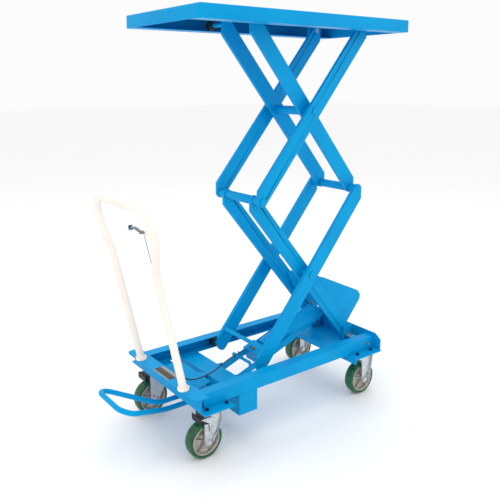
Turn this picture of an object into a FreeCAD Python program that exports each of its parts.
import FreeCAD, Part
import math
import os
import re
import Sketcher

# A hydraulic double scissor lift table on four casters. The frame stands on the floor at Z = 0, the handle is at -X,
# and the origin lies on the floor under the middle of the whole table.

doc = FreeCAD.newDocument("LiftTable")

# --- driving dimensions (millimetres and degrees) -------------------------------------------------
DIMENSIONS = {
    # scissor
    "arm_length": 834, "raise_angle": 52.17, "arm_width": 62, "arm_thick": 15,
    "outer_arm_in": 126, "inner_arm_in": 80, "tip_radius": 20, "corner_run": 21.5, "corner_width": 41.4,
    "pivot_front": 492, "pivot_height": 229, "pin_radius": 11, "tube_radius": 17, "fit_gap": 0.06,
    "open_gap": 0.6, "side_gap": 1, "bush_radius": 17,
    # base frame
    "channel_front": -348, "channel_back": 527, "channel_half": 224, "channel_top": 254, "channel_low": 204,
    "channel_flange": 45, "channel_wall": 4.5, "plate_thick": 5,
    "angle_front": -403, "angle_back": -368, "flange_back": -345, "angle_half": 255, "angle_top": 259,
    "front_plate_back": -245, "caster_plate_half": 272, "rear_plate_front": 372, "plate_lip": 20,
    "end_plate_half": 262, "end_plate_top": 268,
    "beam_front": -192, "beam_back": -108, "beam_low": 122,
    # wheels and casters
    "wheel_radius": 70, "wheel_width": 42, "rim_radius": 57, "hub_radius": 17, "hub_half": 25, "axle_radius": 6,
    "wheel_side": 196, "front_swivel": -304, "swivel_trail": 28, "rear_axle": 476, "leg_gap": 27, "leg_thick": 4,
    "crown_top": 182, "crown_thick": 5, "swivel_top": 199, "swivel_radius": 30,
    # platform
    "deck_front": -361, "deck_back": 639, "deck_half": 250, "deck_top": 1570, "deck_thick": 3, "skirt_drop": 47,
    "rail_flange": 62,
    # rollers
    "roller_radius": 20, "roller_width": 26, "roller_side": 185,
    # power unit
    "cyl_pivot_x": -82, "cyl_pivot_z": 167, "cyl_eye_x": 561, "cyl_eye_z": 388, "cyl_radius": 39.5,
    "cyl_start": 190, "cyl_end": 505, "rod_radius": 18, "rod_in": 335, "bar_side": 52, "bar_thick": 6,
    "bar_width": 26, "bar_length": 340,
    # handle
    "handle_radius": 14, "post_x": -388, "post_side": 157, "knee_x": -489, "knee_side": 160, "knee_z": 710,
    "shoulder_x": -511, "shoulder_side": 204, "shoulder_z": 815,
    "bar_x": -536, "bar_half": 216, "bar_z": 923, "corner_radius": 75,
    # pedal
    "pedal_radius": 9.5, "pedal_pivot_x": -232, "pedal_pivot_z": 128, "pedal_leg_side": 29,
    "pedal_knee_x": -391, "pedal_knee_z": 127, "pedal_tip_x": -602, "pedal_tip_side": 122, "pedal_tip_z": 217,
    # the drawing's zero lies this far in front of the middle of the whole table
    "middle_x": 13.75,
}

sheet = doc.addObject("Spreadsheet::Sheet", "Dims")
for row, (alias, value) in enumerate(DIMENSIONS.items(), start=1):
    sheet.set("A%d" % row, alias)
    sheet.set("B%d" % row, str(value))
    sheet.setAlias("B%d" % row, alias)
doc.recompute()

ALIAS = re.compile(r"\b(" + "|".join(sorted(DIMENSIONS, key=len, reverse=True)) + r")\b")
PARTS = []


def dim(alias):
    return float(sheet.get(alias))


def bind(item, prop, formula):
    """Drive one property from the sheet; formula uses the sheet's aliases as plain words."""
    item.setExpression(prop, ALIAS.sub(r"Dims.\1", str(formula)))


def place(item, x, y, z):
    bind(item, "Placement.Base.x", x)
    bind(item, "Placement.Base.y", y)
    bind(item, "Placement.Base.z", z)
    return item


def turn(item, axis, angle):
    item.Placement.Rotation = FreeCAD.Rotation(FreeCAD.Vector(*axis), 1)
    bind(item, "Placement.Rotation.Angle", angle)
    return item


def box(length, width, height, x, y, z):
    item = doc.addObject("Part::Box", "Block")
    bind(item, "Length", length)
    bind(item, "Width", width)
    bind(item, "Height", height)
    return place(item, x, y, z)


AXES = {"x": FreeCAD.Rotation(FreeCAD.Vector(0, 1, 0), 90), "y": FreeCAD.Rotation(FreeCAD.Vector(1, 0, 0), -90),
        "z": FreeCAD.Rotation()}


def round_bar(radius, length, x, y, z, axis="y"):
    """A cylinder that starts at x, y, z and runs along plus axis."""
    item = doc.addObject("Part::Cylinder", "Round")
    item.Placement.Rotation = AXES[axis]
    bind(item, "Radius", radius)
    bind(item, "Height", length)
    return place(item, x, y, z)


def fuse(*items):
    item = doc.addObject("Part::MultiFuse", "Joined")
    item.Shapes = list(items)
    item.Refine = True
    return item


def cut(base, *tools):
    item = doc.addObject("Part::Cut", "Cut")
    item.Base = base
    item.Tool = tools[0] if len(tools) == 1 else fuse(*tools)
    item.Refine = True
    return item


def group(*items):
    item = doc.addObject("Part::Compound", "Group")
    item.Links = list(items)
    return item


def carry(item):
    """Wrap a placed primitive, so that the wrapper can be tilted and moved as a whole."""
    return group(item)


def solid(shape):
    item = doc.addObject("Part::Feature", "Formed")
    item.Shape = shape
    return item


def finish(label, item):
    item.Label = label
    PARTS.append(item)
    return item


PLANES = {"xz": "XZ_Plane", "xy": "XY_Plane", "yz": "YZ_Plane"}


def plate(points, thick, plane="xz"):
    """A PartDesign body: a polygon whose corners are bound to the sheet, padded evenly about its plane."""
    body = doc.addObject("PartDesign::Body", "PlateBody")
    origin = [f for f in body.Origin.OriginFeatures if f.Role == PLANES[plane]][0]
    sketch = body.newObject("Sketcher::SketchObject", "PlateSketch")
    sketch.AttachmentSupport = (origin, [""])
    sketch.MapMode = "FlatFace"
    values = [[value(c) for c in corner] for corner in points]
    count = len(values)
    for i in range(count):
        start = FreeCAD.Vector(values[i][0], values[i][1], 0)
        end = FreeCAD.Vector(values[(i + 1) % count][0], values[(i + 1) % count][1], 0)
        sketch.addGeometry(Part.LineSegment(start, end), False)
    for i in range(count):
        sketch.addConstraint(Sketcher.Constraint("Coincident", i, 2, (i + 1) % count, 1))
    for i in range(count):
        for kind, formula, number in zip(("DistanceX", "DistanceY"), points[i], values[i]):
            index = sketch.addConstraint(Sketcher.Constraint(kind, -1, 1, i, 1, number))
            bind(sketch, "Constraints[%d]" % index, formula)
    pad = body.newObject("PartDesign::Pad", "PlatePad")
    pad.Profile = sketch
    bind(pad, "Length", thick)
    pad.Midplane = True
    return body


def value(formula):
    """The number that a formula of aliases gives, worked out by the sheet itself."""
    sheet.set("D1", "=" + str(formula))
    sheet.recompute()
    return float(sheet.get("D1"))


# --- worked out from the driving dimensions -------------------------------------------------------
sheet.set("A200", "rise")
sheet.set("B200", "=arm_length * sin(raise_angle * 1deg)")
sheet.setAlias("B200", "rise")
sheet.set("A201", "reach")
sheet.set("B201", "=arm_length * cos(raise_angle * 1deg)")
sheet.setAlias("B201", "reach")
doc.recompute()
ALIAS = re.compile(r"\b(" + "|".join(sorted([*DIMENSIONS, "rise", "reach"], key=len, reverse=True)) + r")\b")
SIDES = {"left": 1, "right": -1}


def side_y(sign, near, wide):
    """Formula for the low Y edge of a piece that lies from near to near + wide on one side of the middle."""
    return near if sign > 0 else "-(%s) - (%s)" % (near, wide)


# --- base frame -----------------------------------------------------------------------------------
def channel(sign):
    outer = "(%d * channel_half)" % sign
    wall = "(%d * (channel_half - channel_wall))" % sign
    flange = "(%d * (channel_half - channel_flange))" % sign
    profile = [(outer, "channel_low"), (flange, "channel_low"), (flange, "channel_low + channel_wall"),
               (wall, "channel_low + channel_wall"), (wall, "channel_top - channel_wall"),
               (flange, "channel_top - channel_wall"), (flange, "channel_top"), (outer, "channel_top")]
    rail = plate(profile, "channel_back - channel_front", "yz")
    return place(rail, "(channel_front + channel_back) / 2", 0, 0)


finish("side_channels", group(*[channel(sign) for sign in SIDES.values()]))

# One folded angle: a flat flange that carries the handle, and a wall down to the caster plate.
flange = plate([("flange_back", "-angle_half"), ("flange_back", "angle_half"),
                ("angle_front + 18", "angle_half"), ("angle_front + 5", "angle_half - 5"),
                ("angle_front", "angle_half - 18"), ("angle_front", "-angle_half + 18"),
                ("angle_front + 5", "-angle_half + 5"), ("angle_front + 18", "-angle_half")], "plate_thick", "xy")
wall = box("plate_thick", "2 * angle_half - 20", "angle_top - plate_thick - channel_low",
           "angle_back - plate_thick", "-angle_half + 10", "channel_low")
finish("handle_angle", fuse(place(flange, 0, 0, "angle_top - plate_thick / 2"), wall))

front_plate = box("front_plate_back - angle_back + plate_thick", "2 * caster_plate_half", "plate_thick",
                  "angle_back - plate_thick", "-caster_plate_half", "channel_low - plate_thick")
pan_wall = plate([("angle_back + 20", "channel_low"), ("angle_back + 26", "channel_low"),
                  ("front_plate_back - 2", "channel_low + 30"), ("front_plate_back - 8", "channel_low + 30")],
                 "2 * outer_arm_in - 12")
finish("front_caster_plate", fuse(front_plate, pan_wall))

rear_plate = box("channel_back - rear_plate_front", "2 * caster_plate_half", "plate_thick",
                 "rear_plate_front", "-caster_plate_half", "channel_low - plate_thick")
rear_lip = box("plate_thick", "2 * caster_plate_half", "plate_lip",
               "rear_plate_front", "-caster_plate_half", "channel_low - plate_thick - plate_lip")
finish("rear_caster_plate", fuse(rear_plate, rear_lip))

end_plate = plate([("-end_plate_half", "channel_low - plate_thick"), ("end_plate_half", "channel_low - plate_thick"),
                   ("end_plate_half", "end_plate_top - 20"), ("end_plate_half - 30", "end_plate_top"),
                   ("-end_plate_half + 30", "end_plate_top"), ("-end_plate_half", "end_plate_top - 20")],
                  "plate_thick", "yz")
finish("rear_end_plate", place(end_plate, "channel_back + plate_thick / 2", 0, 0))

# The anchor beam hangs under the channels, closed at its ends and open at the bottom.
beam_body = box("beam_back - beam_front", "2 * channel_half", "channel_low - beam_low",
                "beam_front", "-channel_half", "beam_low")
beam_inside = box("beam_back - beam_front - 2 * plate_thick", "2 * channel_half - 2 * plate_thick",
                  "channel_low - beam_low", "beam_front + plate_thick", "-channel_half + plate_thick",
                  "beam_low - plate_thick")
finish("anchor_beam", cut(beam_body, beam_inside))


def cylinder_ear(sign):
    low = side_y(sign, "bar_side + bar_thick + side_gap", "bar_thick")
    base = box("cyl_pivot_x - beam_back + 16", "bar_thick", 44, "beam_back", low, "cyl_pivot_z - 22")
    hole = round_bar(6.05, "bar_thick + 2", "cyl_pivot_x", low + " - 1", "cyl_pivot_z")
    return cut(base, hole)


def rear_ear(sign):
    low = side_y(sign, "inner_arm_in + arm_thick + side_gap", 8)
    base = box("channel_back - pivot_front + 22", 8, "end_plate_top - channel_low",
               "pivot_front - 22", low, "channel_low")
    hole = round_bar("pin_radius", 10, "pivot_front", low + " - 1", "pivot_height")
    return cut(base, hole)


finish("rear_pivot_ears", group(rear_ear(1), rear_ear(-1)))


def rear_pin(sign):
    low = side_y(sign, "inner_arm_in - 4", "channel_half - channel_wall - inner_arm_in + 4")
    return round_bar("pin_radius", "channel_half - channel_wall - inner_arm_in + 4",
                     "pivot_front", low, "pivot_height")


pedal_pin = round_bar(6, "2 * pedal_leg_side + 36", "pedal_pivot_x", "-pedal_leg_side - 18", "pedal_pivot_z")
finish("pivot_pins", group(rear_pin(1), rear_pin(-1), pedal_pin))


def grease_fitting(sign):
    hexagon = round_bar(5, 5, "pivot_front - 6", side_y(sign, "channel_half", 5), "pivot_height")
    nipple = round_bar(2.5, 6, "pivot_front - 6", side_y(sign, "channel_half + 5", 6), "pivot_height")
    return fuse(hexagon, nipple)


finish("grease_fittings", group(grease_fitting(1), grease_fitting(-1)))


def pedal_ear(sign):
    low = side_y(sign, "pedal_leg_side + 11", 6)
    base = box("beam_front - pedal_pivot_x + 14", 6, 34, "pedal_pivot_x - 14", low, "pedal_pivot_z - 14")
    hole = round_bar(6, 8, "pedal_pivot_x", low + " - 1", "pedal_pivot_z")
    return cut(base, hole)


finish("beam_ears", group(*[ear(sign) for ear in (cylinder_ear, pedal_ear) for sign in SIDES.values()]))

pump_x = "pedal_pivot_x + 20"
pump_body = round_bar(20, "channel_low - pedal_pivot_z - 26", pump_x, 0, "pedal_pivot_z + 26", "z")
pump_bore = round_bar(8.06, "channel_low - pedal_pivot_z - 40", pump_x, 0, "pedal_pivot_z + 25", "z")
finish("pump_barrel", cut(pump_body, pump_bore))
finish("pump_plunger", round_bar(8, 44, pump_x, 0, "pedal_pivot_z + 10", "z"))


# --- handle, release lever, cable -----------------------------------------------------------------
def rounded_path(points, radii):
    """Straight runs joined by tangent arcs; radii holds one radius for each inner point."""
    edges = []
    start = points[0]
    for i in range(1, len(points) - 1):
        into = (points[i] - points[i - 1]).normalize()
        away = (points[i + 1] - points[i]).normalize()
        half_turn = into.getAngle(away) / 2
        trim = radii[i - 1] * math.tan(half_turn)
        first = points[i] - into * trim
        last = points[i] + away * trim
        inward = (away - into).normalize()
        centre = points[i] + inward * (radii[i - 1] / math.cos(half_turn))
        middle = centre - inward * radii[i - 1]
        edges.append(Part.LineSegment(start, first).toShape())
        edges.append(Part.Arc(first, middle, last).toShape())
        start = last
    edges.append(Part.LineSegment(start, points[-1]).toShape())
    return Part.Wire(edges)


def sweep(path, radius):
    start = path.Edges[0]
    ring = Part.Circle(start.Vertexes[0].Point, start.tangentAt(start.FirstParameter), radius).toShape()
    return path.makePipeShell([Part.Wire([ring])], True, False)


def corner(x, y, z):
    return FreeCAD.Vector(x, y, z)


def handle_points():
    half = [corner(dim("post_x"), dim("post_side"), dim("angle_top")),
            corner(dim("knee_x"), dim("knee_side"), dim("knee_z")),
            corner(dim("shoulder_x"), dim("shoulder_side"), dim("shoulder_z")),
            corner(dim("bar_x"), dim("bar_half"), dim("bar_z"))]
    mirrored = [corner(p.x, -p.y, p.z) for p in reversed(half)]
    return half + mirrored


bend_radii = [150, 120, dim("corner_radius")]
handle_path = rounded_path(handle_points(), bend_radii + bend_radii[::-1])
below_plate = Part.makeBox(200, 600, 40, corner(dim("post_x") - 100, -300, dim("angle_top") - 40))
handle_tube = sweep(handle_path, dim("handle_radius")).cut(
    [sweep(handle_path, dim("handle_radius") - 2.5), below_plate])
finish("handle_tube", solid(handle_tube))


def collar(sign):
    middle = "%d * post_side" % sign
    ring = round_bar("handle_radius + 7", 12, "post_x - 1", middle, "angle_top", "z")
    bore = round_bar("handle_radius + 2.2", 14, "post_x - 1", middle, "angle_top - 1", "z")
    return cut(ring, bore)


finish("post_collars", group(collar(1), collar(-1)))

LEVER_X = "bar_x + 14"
LEVER_Y = "-bar_half + 66"
LEVER_Z = "bar_z - 74"
bracket = box(6, 51, 18, LEVER_X + " - 3", "-bar_half + 22.8", LEVER_Z + " - 9")
bracket_hole = round_bar(3.06, 8, LEVER_X + " - 4", LEVER_Y, LEVER_Z, "x")
stop_tab = box(6, 16, 5, "knee_x + 1", "-knee_side + handle_radius + 0.1", "knee_z - 20")
finish("handle_tabs", group(cut(bracket, bracket_hole), stop_tab))

finish("rating_plate", box(46, 112, 1, "angle_front + 6", -62, "angle_top"))

lever_plate = plate([("-8", "-8"), ("8", "-8"), ("20", "-4"), ("70", "6"), ("82", "0"), ("86", "5"), ("72", "16"),
                     ("20", "9"), ("-8", "8")], 4, "yz")
lever_eye = round_bar(3, 8, -4, 0, 0, "x")
lever_pin = round_bar(3, 14, -4, 0, 0, "x")
lever = group(cut(lever_plate, lever_eye), lever_pin)
finish("release_lever", place(lever, LEVER_X + " - 6", LEVER_Y, LEVER_Z))


CABLE_RADIUS = 2.5
WIRE_RADIUS = 1
CABLE_ROUTE = [corner(-485, -141, 689.2), corner(-405, -139.5, 335), corner(-384, -137, 300),
               corner(-346, -124, 270), corner(-300, -108, 253), corner(-223, -83, 243),
               corner(-156, -55, 245), corner(-89, -26, 249), corner(-22, -1, 243)]


def tangent_radii(points):
    """The largest arcs that the runs allow: 0.45 of the shorter run over the tangent of half the turn."""
    radii = []
    for i in range(1, len(points) - 1):
        into = points[i] - points[i - 1]
        away = points[i + 1] - points[i]
        shorter = min(into.Length, away.Length)
        radii.append(0.45 * shorter / math.tan(into.getAngle(away) / 2))
    return radii


def straight_bar(start, end, radius):
    return Part.makeCylinder(radius, (end - start).Length, start, end - start)


cable_radii = tangent_radii(CABLE_ROUTE)
cable_path = rounded_path(CABLE_ROUTE, cable_radii)
outer_cable = sweep(cable_path, CABLE_RADIUS)
drawn = math.pi * CABLE_RADIUS ** 2 * cable_path.Length
print("cable length", round(cable_path.Length, 1))
print("cable radii", [round(r) for r in cable_radii], "volume share", round(outer_cable.Volume / drawn, 4))
lever_hook = corner(dim("bar_x") + 13, -dim("bar_half") + 62, dim("bar_z") - 84)
bare_wire = straight_bar(corner(-485, -141, 695.6), lever_hook, WIRE_RADIUS)
heading = (CABLE_ROUTE[-1] - CABLE_ROUTE[-2]).normalize()
ferrule = straight_bar(CABLE_ROUTE[-1], CABLE_ROUTE[-1] + heading * 9, 3.5)
wire_start = CABLE_ROUTE[-1] + heading * 9
wire_end = wire_start + corner(46, 0, 8)
inner_wire = straight_bar(wire_start, wire_end, WIRE_RADIUS)
nipple = straight_bar(wire_end, wire_end + corner(6, 0, 2.5), 3)
cable_parts = [solid(shape) for shape in (outer_cable, bare_wire, ferrule, inner_wire, nipple)]
finish("release_cable", group(*cable_parts))


# --- scissor arms ---------------------------------------------------------------------------------
# An arm is a flat bar set slightly askew on its pivots: at each end one side runs into the round tip, and the other
# side goes on to a corner that is cut off upright.
TIP_ALONG = "tip_radius * cos(raise_angle * 1deg)"
TIP_ACROSS = "tip_radius * sin(raise_angle * 1deg)"
PROFILE = [("0", "-tip_radius"), ("arm_length - corner_run", "-corner_width"),
           ("arm_length + " + TIP_ALONG, "-" + TIP_ACROSS), ("arm_length", "tip_radius"),
           ("corner_run", "corner_width"), ("-" + TIP_ALONG, TIP_ACROSS)]
FLIPPED = [(x, "-(" + y + ")") for x, y in reversed(PROFILE)]


def arm(profile, holes):
    """A flat bar along X with round tips; holes are the radii at its start, middle and end."""
    bar = plate(profile, "arm_thick")
    ends = [round_bar("tip_radius", "arm_thick", x, "-arm_thick / 2", 0) for x in ("0", "arm_length")]
    tools = []
    for share, radius in zip(("0", "arm_length / 2", "arm_length"), holes):
        tools.append(round_bar(radius, "arm_thick + 2", share, "-arm_thick / 2 - 1", 0))
    return cut(fuse(bar, *ends), *tools)


def lean(item, direction, x, y, z):
    """Raise an arm: direction 1 rises towards +X, and -1 rises towards -X."""
    angle = "-raise_angle" if direction > 0 else "raise_angle - 180"
    return place(turn(item, (0, 1, 0), angle), x, y, z)


TOP_Z = "pivot_height + 2 * rise"
RUNNING_HOLE = "pin_radius + fit_gap"
OUTER_Y = "(outer_arm_in + arm_thick / 2)"
INNER_Y = "(inner_arm_in + arm_thick / 2)"
FRONT_X = "pivot_front - reach"
CENTRE_X = "pivot_front - reach / 2"


def roller_axle(sign, z, near):
    """A stub axle, welded into an arm, that carries its roller; near is the arm's inner face."""
    length = "roller_side + roller_width / 2 + 6 - (%s)" % near
    return round_bar("pin_radius - 2", length, FRONT_X, side_y(sign, near, length), z)


lower_inner = []
for sign in SIDES.values():
    bar = arm(FLIPPED, (RUNNING_HOLE, "pin_radius - 1", "pin_radius - 1"))
    lower_inner.append(lean(bar, -1, "pivot_front", "%d * %s" % (sign, INNER_Y), "pivot_height"))
finish("lower_inner_arms", group(*lower_inner))

lower_outer = []
for sign in SIDES.values():
    bar = arm(PROFILE, ("pin_radius - 4", RUNNING_HOLE, "pin_radius - 1"))
    leaned = lean(bar, 1, FRONT_X, "%d * %s" % (sign, OUTER_Y), "pivot_height")
    lower_outer.append(fuse(leaned, roller_axle(sign, "pivot_height", "outer_arm_in")))
finish("lower_outer_arms", group(*lower_outer))

upper_outer = []
for sign in SIDES.values():
    bar = arm(PROFILE, (RUNNING_HOLE, RUNNING_HOLE, "pin_radius - 1 + fit_gap"))
    upper_outer.append(lean(bar, 1, FRONT_X, "%d * %s" % (sign, OUTER_Y), "pivot_height + rise"))
finish("upper_outer_arms", group(*upper_outer))

upper_inner = []
for sign in SIDES.values():
    bar = arm(FLIPPED, ("pin_radius - 1 + open_gap", "pin_radius - 1", "pin_radius - 4"))
    leaned = lean(bar, -1, "pivot_front", "%d * %s" % (sign, INNER_Y), "pivot_height + rise")
    upper_inner.append(fuse(leaned, roller_axle(sign, TOP_Z, "inner_arm_in")))
finish("upper_inner_arms", group(*upper_inner))


# --- pins and tubes between the arms --------------------------------------------------------------
def arm_stub(sign, x, z):
    """A pin from the inner arm through its outer arm, with a spacer bush between the two and a washer outside."""
    bush = round_bar("bush_radius", "outer_arm_in - inner_arm_in - arm_thick - side_gap", x,
                     side_y(sign, "inner_arm_in + arm_thick", "outer_arm_in - inner_arm_in - arm_thick - side_gap"), z)
    pin = round_bar("pin_radius", "outer_arm_in - inner_arm_in + 1", x,
                    side_y(sign, "inner_arm_in + arm_thick", "outer_arm_in - inner_arm_in + 1"), z)
    washer = round_bar("pin_radius + 4", 3, x, side_y(sign, "outer_arm_in + arm_thick + side_gap", 3), z)
    return fuse(bush, pin, washer)


def plug(sign, x, z, radius="pin_radius - 1"):
    return round_bar(radius, "arm_thick", x, side_y(sign, "inner_arm_in", "arm_thick"), z)


def cross_tube(x, z):
    middle = round_bar("tube_radius", "2 * inner_arm_in", x, "-inner_arm_in", z)
    ends = []
    for sign in SIDES.values():
        ends += [plug(sign, x, z), arm_stub(sign, x, z)]
    return fuse(middle, *ends)


finish("middle_front_tube", cross_tube(FRONT_X, "pivot_height + rise"))
finish("upper_centre_tube", cross_tube(CENTRE_X, "pivot_height + rise * 3 / 2"))
LOWER_CENTRE_Z = "pivot_height + rise / 2"
finish("lower_centre_pins", group(*[
    fuse(plug(sign, CENTRE_X, LOWER_CENTRE_Z), arm_stub(sign, CENTRE_X, LOWER_CENTRE_Z)) for sign in SIDES.values()]))

# The rear tube is one long pin with a tube on its middle and a bush beside each inner arm, and the gussets fold past it.
MIDDLE_Z = "pivot_height + rise"
rear_pin_bar = round_bar("pin_radius - 1", "2 * outer_arm_in + 2 * arm_thick + 6", "pivot_front",
                         "-outer_arm_in - arm_thick - 3", MIDDLE_Z)
rear_sleeve = round_bar("tube_radius", "2 * inner_arm_in - 18", "pivot_front", "-inner_arm_in + 9", MIDDLE_Z)
rear_bushes = []
for sign in SIDES.values():
    length = "outer_arm_in - inner_arm_in - arm_thick - side_gap"
    rear_bushes.append(round_bar("bush_radius", length, "pivot_front",
                                 side_y(sign, "inner_arm_in + arm_thick + side_gap", length), MIDDLE_Z))
finish("middle_rear_tube", fuse(rear_pin_bar, rear_sleeve, *rear_bushes))

tie = box(16, "2 * outer_arm_in", 16, 58, "-outer_arm_in", 22)
finish("lower_tie_bar", lean(carry(tie), 1, FRONT_X, 0, "pivot_height"))


def rollers(z):
    pair = []
    for sign in SIDES.values():
        low = side_y(sign, "roller_side - roller_width / 2", "roller_width")
        wheel = round_bar("roller_radius", "roller_width", FRONT_X, low, z)
        bore = round_bar("pin_radius - 2 + fit_gap", "roller_width + 2", FRONT_X, low + " - 1", z)
        pair.append(cut(wheel, bore))
    return group(*pair)


finish("base_rollers", rollers("pivot_height"))
finish("top_rollers", rollers(TOP_Z))

# Gusset plates stand inside the lower inner arms, on two spacers each, and carry the top of the lift cylinder.
GUSSET = [("pivot_front + 13", "pivot_height + 26"), ("pivot_front + 27", "pivot_height + 51"),
          ("pivot_front + 101", "pivot_height + 138"), ("pivot_front + 103", "pivot_height + 158"),
          ("pivot_front + 88", "pivot_height + 180"), ("pivot_front - 53", "pivot_height + 246"),
          ("pivot_front - 130", "pivot_height + 282"), ("pivot_front - 200", "pivot_height + 280"),
          ("pivot_front - 160", "pivot_height + 205")]
gussets = []
for sign in SIDES.values():
    sheet_plate = place(plate(GUSSET, 7), 0, "%d * (inner_arm_in - 4)" % sign, 0)
    spacers = [round_bar(6, 8, "pivot_front - %d" % back, side_y(sign, "inner_arm_in - 8", 8), "pivot_height + %d" % up)
               for back, up in ((45, 104), (122, 196))]
    gussets.append(fuse(sheet_plate, *spacers))
finish("gusset_plates", group(*gussets))


# --- platform -------------------------------------------------------------------------------------
finish("deck", box("deck_back - deck_front", "2 * deck_half", "deck_thick", "deck_front", "-deck_half",
                   "deck_top - deck_thick"))


def platform_rail(sign):
    outer = "(%d * deck_half)" % sign
    wall = "(%d * (deck_half - deck_thick))" % sign
    inner = "(%d * (deck_half - rail_flange))" % sign
    profile = [(outer, "deck_top - deck_thick"), (outer, "deck_top - skirt_drop"),
               (inner, "deck_top - skirt_drop"), (inner, "deck_top - skirt_drop + deck_thick"),
               (wall, "deck_top - skirt_drop + deck_thick"), (wall, "deck_top - deck_thick")]
    rail = plate(profile, "deck_back - deck_front", "yz")
    return place(rail, "(deck_front + deck_back) / 2", 0, 0)


finish("platform_rails", group(platform_rail(1), platform_rail(-1)))


def end_skirt(x):
    return box("deck_thick", "2 * deck_half - 2 * deck_thick", "skirt_drop - 2 * deck_thick", x,
               "-deck_half + deck_thick", "deck_top - skirt_drop + deck_thick")


finish("end_skirts", group(end_skirt("deck_front"), end_skirt("deck_back - deck_thick")))


def top_bracket(sign):
    low = side_y(sign, "outer_arm_in + arm_thick + side_gap", 8)
    base = box(70, 8, 40, "pivot_front - 35", low, "deck_top - deck_thick - 40")
    hole = round_bar("pin_radius - 1 + fit_gap", 10, "pivot_front", low + " - 1", TOP_Z)
    return cut(base, hole)


finish("top_pivot_brackets", group(top_bracket(1), top_bracket(-1)))
finish("top_pivot_pins", group(*[
    round_bar("pin_radius - 1", "arm_thick + side_gap + 12", "pivot_front",
              side_y(sign, "outer_arm_in", "arm_thick + side_gap + 12"), TOP_Z) for sign in SIDES.values()]))


# --- power unit: bars, pump block and cylinder swing on the ears, and the rod pushes on the gussets 
LIFT_LINE = "atan2(cyl_eye_z - cyl_pivot_z; cyl_eye_x - cyl_pivot_x)"


def on_lift_line(item):
    """Pieces drawn along +X from the cylinder's pivot are tilted onto the line to its eye."""
    item.Placement.Rotation = FreeCAD.Rotation(FreeCAD.Vector(0, 1, 0), 1)
    bind(item, "Placement.Rotation.Angle", "-" + LIFT_LINE)
    return place(item, "cyl_pivot_x", 0, "cyl_pivot_z")


def swing_bar(sign):
    bar = box("bar_length", "bar_thick", "bar_width", "-bar_width / 2", side_y(sign, "bar_side", "bar_thick"),
              "-bar_width / 2")
    hole = round_bar(6.06, "bar_thick + 2", 0, side_y(sign, "bar_side - 1", "bar_thick + 2"), 0)
    return cut(bar, hole)


finish("swing_bars", on_lift_line(group(swing_bar(1), swing_bar(-1))))


def swing_bolt(sign):
    shank = round_bar(6, "2 * bar_thick + side_gap", 0, side_y(sign, "bar_side", "2 * bar_thick + side_gap"), 0)
    head = round_bar(10, 7, 0, side_y(sign, "bar_side - 7", 7), 0)
    return fuse(shank, head)


finish("swing_bolts", on_lift_line(group(swing_bolt(1), swing_bolt(-1))))

block = box(60, "2 * bar_side", 56, "cyl_start - 60", "-bar_side", -28)
finish("pump_block", on_lift_line(carry(block)))
barrel = round_bar("cyl_radius", "cyl_end - 18 - cyl_start", "cyl_start", 0, 0, "x")
barrel_bore = round_bar("cyl_radius - 6", "cyl_end - cyl_start", "cyl_start + 15", 0, 0, "x")
finish("cylinder_tube", on_lift_line(cut(barrel, barrel_bore)))
cap = round_bar("cyl_radius + 1", 18, "cyl_end - 18", 0, 0, "x")
cap_bore = round_bar("rod_radius + fit_gap", 20, "cyl_end - 19", 0, 0, "x")
finish("cylinder_cap", on_lift_line(cut(cap, cap_bore)))
crossbar = fuse(box(12, "2 * bar_side + 2 * bar_thick", 6, 74, "-bar_side - bar_thick", 24),
                *[box(12, "bar_thick", 11, 74, side_y(sign, "bar_side", "bar_thick"), "bar_width / 2")
                  for sign in SIDES.values()],
                *[box(4, 5, 28, 78, side_y(sign, 7, 5), 28) for sign in SIDES.values()])
finish("cable_crossbar", on_lift_line(crossbar))
valve_stem = round_bar(7, 7, 146, 0, 28, "z")
cap_fitting = round_bar(5, 13, "cyl_end - 10", 0, "cyl_radius + 1", "z")
finish("brass_fittings", on_lift_line(group(valve_stem, cap_fitting)))

eye_distance = "sqrt((cyl_eye_x - cyl_pivot_x) ^ 2 + (cyl_eye_z - cyl_pivot_z) ^ 2)"
rod_bar = round_bar("rod_radius", eye_distance + " - rod_in - 10", "rod_in", 0, 0, "x")
rod_eye = round_bar("rod_radius + 4", 44, eye_distance, -22, 0)
rod_hole = round_bar("pin_radius + 1", 46, eye_distance, -23, 0)
finish("lift_rod", on_lift_line(cut(fuse(rod_bar, rod_eye), rod_hole)))
rod_pin = round_bar("pin_radius + 1", "2 * inner_arm_in - 18", eye_distance, "-inner_arm_in + 9", 0)
finish("rod_pin", on_lift_line(carry(rod_pin)))


# --- foot pedal -----------------------------------------------------------------------------------
def pedal_points():
    side = dim("pedal_leg_side")
    half = [corner(dim("pedal_pivot_x") - 8, side, dim("pedal_pivot_z") - 2),
            corner(dim("pedal_knee_x"), side, dim("pedal_knee_z")),
            corner(dim("pedal_tip_x"), dim("pedal_tip_side"), dim("pedal_tip_z"))]
    mirrored = [corner(p.x, -p.y, p.z) for p in reversed(half)]
    return half + mirrored


pedal_loop = sweep(rounded_path(pedal_points(), [110, 45, 45, 110]), dim("pedal_radius"))
hub = Part.makeCylinder(14, 2 * dim("pedal_leg_side") + 18, corner(dim("pedal_pivot_x"), -dim("pedal_leg_side") - 9,
                        dim("pedal_pivot_z")), corner(0, 1, 0))
hub_bore = Part.makeCylinder(6.06, 120, corner(dim("pedal_pivot_x"), -60, dim("pedal_pivot_z")), corner(0, 1, 0))
toe = Part.makeBox(18, 20, 8, corner(dim("pedal_pivot_x") + 4, -10, dim("pedal_pivot_z") + 1.5))
finish("foot_pedal", solid(pedal_loop.fuse([hub, toe]).cut(hub_bore).removeSplitter()))


# --- casters and wheels ---------------------------------------------------------------------------
BRAKE_X = 14
BRAKE_Z = 128
SWIVEL_SHIFT = "front_swivel - swivel_trail"


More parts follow.
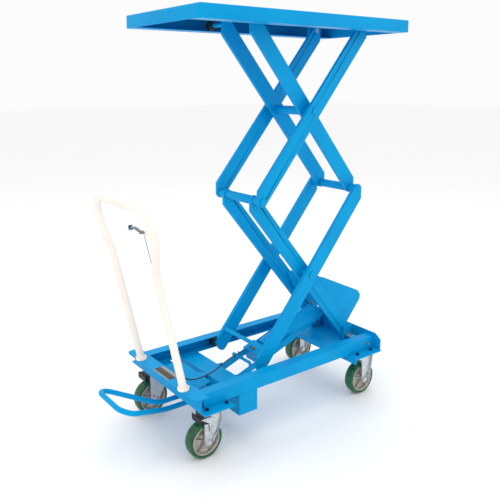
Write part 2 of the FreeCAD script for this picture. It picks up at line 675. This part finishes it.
def swivel_fork(y, sign):
    outline = [("-15", "crown_top - crown_thick"), ("-15", "wheel_radius"), ("-9", "wheel_radius - 13"),
               ("9", "wheel_radius - 13"), ("16", "wheel_radius"), ("swivel_trail + 18", "wheel_radius + 48"),
               ("swivel_trail + 30", "wheel_radius + 80"), ("swivel_trail + 30", "crown_top - crown_thick")]
    legs = [place(plate(outline, "leg_thick"), 0, "%d * (leg_gap + leg_thick / 2)" % sign, 0)
            for sign in SIDES.values()]
    crown = box("swivel_trail + 45", "2 * leg_gap + 2 * leg_thick", "crown_thick", -15, "-leg_gap - leg_thick",
                "crown_top - crown_thick")
    fork = fuse(*legs, crown)
    axle = round_bar("axle_radius", "2 * leg_gap + 2 * leg_thick + 16", 0, "-leg_gap - leg_thick - 8", "wheel_radius")
    nuts = [round_bar(10, 7, 0, side_y(sign, "leg_gap + leg_thick", 7), "wheel_radius") for sign in SIDES.values()]
    brake_pin = round_bar(4, 9, BRAKE_X, side_y(sign, "leg_gap + leg_thick", 9), BRAKE_Z)
    return place(fuse(fork, axle, brake_pin, *nuts), SWIVEL_SHIFT, y, 0)


def rigid_fork(y):
    outline = [("-17", "channel_low - plate_thick - 4"), ("-15", "wheel_radius"), ("-9", "wheel_radius - 13"),
               ("9", "wheel_radius - 13"), ("15", "wheel_radius"), ("36", "wheel_radius + 62"),
               ("44", "channel_low - plate_thick - 4")]
    legs = [place(plate(outline, "leg_thick"), 0, "%d * (leg_gap + leg_thick / 2)" % sign, 0)
            for sign in SIDES.values()]
    top = box(122, 120, 4, -74, -60, "channel_low - plate_thick - 4")
    axle = round_bar("axle_radius", "2 * leg_gap + 2 * leg_thick + 16", 0, "-leg_gap - leg_thick - 8", "wheel_radius")
    nuts = [round_bar(10, 7, 0, side_y(sign, "leg_gap + leg_thick", 7), "wheel_radius") for sign in SIDES.values()]
    return place(fuse(*legs, top, axle, *nuts), "rear_axle", y, 0)


def swivel_plate(y):
    top = box(104, 120, 6, "front_swivel - 52", "%s - 60" % y, "swivel_top - 6")
    race = round_bar("swivel_radius", "swivel_top - 6 - crown_top", "front_swivel", y, "crown_top", "z")
    return fuse(top, race)


def wheel_tread(x, y):
    ring = round_bar("wheel_radius", "wheel_width", x, "%s - wheel_width / 2" % y, "wheel_radius")
    hole = round_bar("rim_radius", "wheel_width + 2", x, "%s - wheel_width / 2 - 1" % y, "wheel_radius")
    return cut(ring, hole)


def wheel_core(x, y):
    rim = cut(round_bar("rim_radius", "wheel_width - 2", x, "%s - wheel_width / 2 + 1" % y, "wheel_radius"),
              round_bar("rim_radius - 7", "wheel_width", x, "%s - wheel_width / 2" % y, "wheel_radius"))
    web = round_bar("rim_radius - 5", 10, x, "%s - 5" % y, "wheel_radius")
    hub_piece = round_bar("hub_radius", "2 * hub_half", x, "%s - hub_half" % y, "wheel_radius")
    bore = round_bar("axle_radius + fit_gap", "2 * hub_half + 2", x, "%s - hub_half - 1" % y, "wheel_radius")
    return cut(fuse(rim, web, hub_piece), bore)


def brake(y, sign):
    """A foot brake on the outer leg: a side plate on a short pin, with a tread tab in front of the wheel."""
    outline = [("2", "wheel_radius + 72"), ("-34", "wheel_radius + 78"), ("-34", "wheel_radius + 98"),
               ("12", "wheel_radius + 96"), ("32", "wheel_radius + 82"), ("28", "wheel_radius + 34"),
               ("14", "wheel_radius + 30"), ("6", "wheel_radius + 40")]
    side_plate = place(plate(outline, 4), 0, "%d * (leg_gap + leg_thick + 4)" % sign, 0)
    tab = box(4, "2 * leg_gap + leg_thick", 24, -34, side_y(sign, "-leg_gap + 4", "2 * leg_gap + leg_thick"),
              "wheel_radius + 76")
    hole = round_bar(4.06, 8, BRAKE_X, side_y(sign, "leg_gap + leg_thick", 8), BRAKE_Z)
    return place(cut(fuse(side_plate, tab), hole), SWIVEL_SHIFT, y, 0)


for name, sign in SIDES.items():
    wheel_y = "(%d * wheel_side)" % sign
    finish("front_fork_" + name, swivel_fork(wheel_y, sign))
    finish("brake_lever_" + name, brake(wheel_y, sign))
    finish("front_tread_" + name, wheel_tread(SWIVEL_SHIFT, wheel_y))
    finish("front_core_" + name, wheel_core(SWIVEL_SHIFT, wheel_y))
    finish("rear_tread_" + name, wheel_tread("rear_axle", wheel_y))
    finish("rear_core_" + name, wheel_core("rear_axle", wheel_y))

finish("swivel_plates", group(swivel_plate("wheel_side"), swivel_plate("-wheel_side")))
finish("rear_forks", group(rigid_fork("wheel_side"), rigid_fork("-wheel_side")))


def bolt_head(x, y):
    head = doc.addObject("Part::Prism", "Hexagon")
    head.Polygon = 6
    head.Circumradius = 7.5
    head.Height = 6
    return place(head, x, y, "channel_low")


bolt_heads = []
for sign in SIDES.values():
    for inward in (46, -46):
        bolt_y = "%d * (wheel_side + %d)" % (sign, inward)
        for x in ("front_swivel - 42", "front_swivel + 42", "rear_axle - 64", "rear_axle + 16"):
            bolt_heads.append(bolt_head(x, bolt_y))
finish("caster_bolts", group(*bolt_heads))


# --- check and write ------------------------------------------------------------------------------
doc.recompute()
failed = [item.Label for item in doc.Objects if "Invalid" in item.State or "Error" in item.State]
if failed:
    raise SystemExit("failed: " + ", ".join(failed))
for item in PARTS:
    if item.Shape.isNull() or not item.Shape.isValid() or not item.Shape.Solids:
        raise SystemExit("bad shape: " + item.Label)

# The origin lies under the middle of the whole table, so every part is written that far back from the drawing's zero.
os.makedirs("parts", exist_ok=True)
for item in PARTS:
    item.Shape.translated(FreeCAD.Vector(-dim("middle_x"), 0, 0)).exportStep("parts/%s.step" % item.Label)
print(len(PARTS), "parts written")
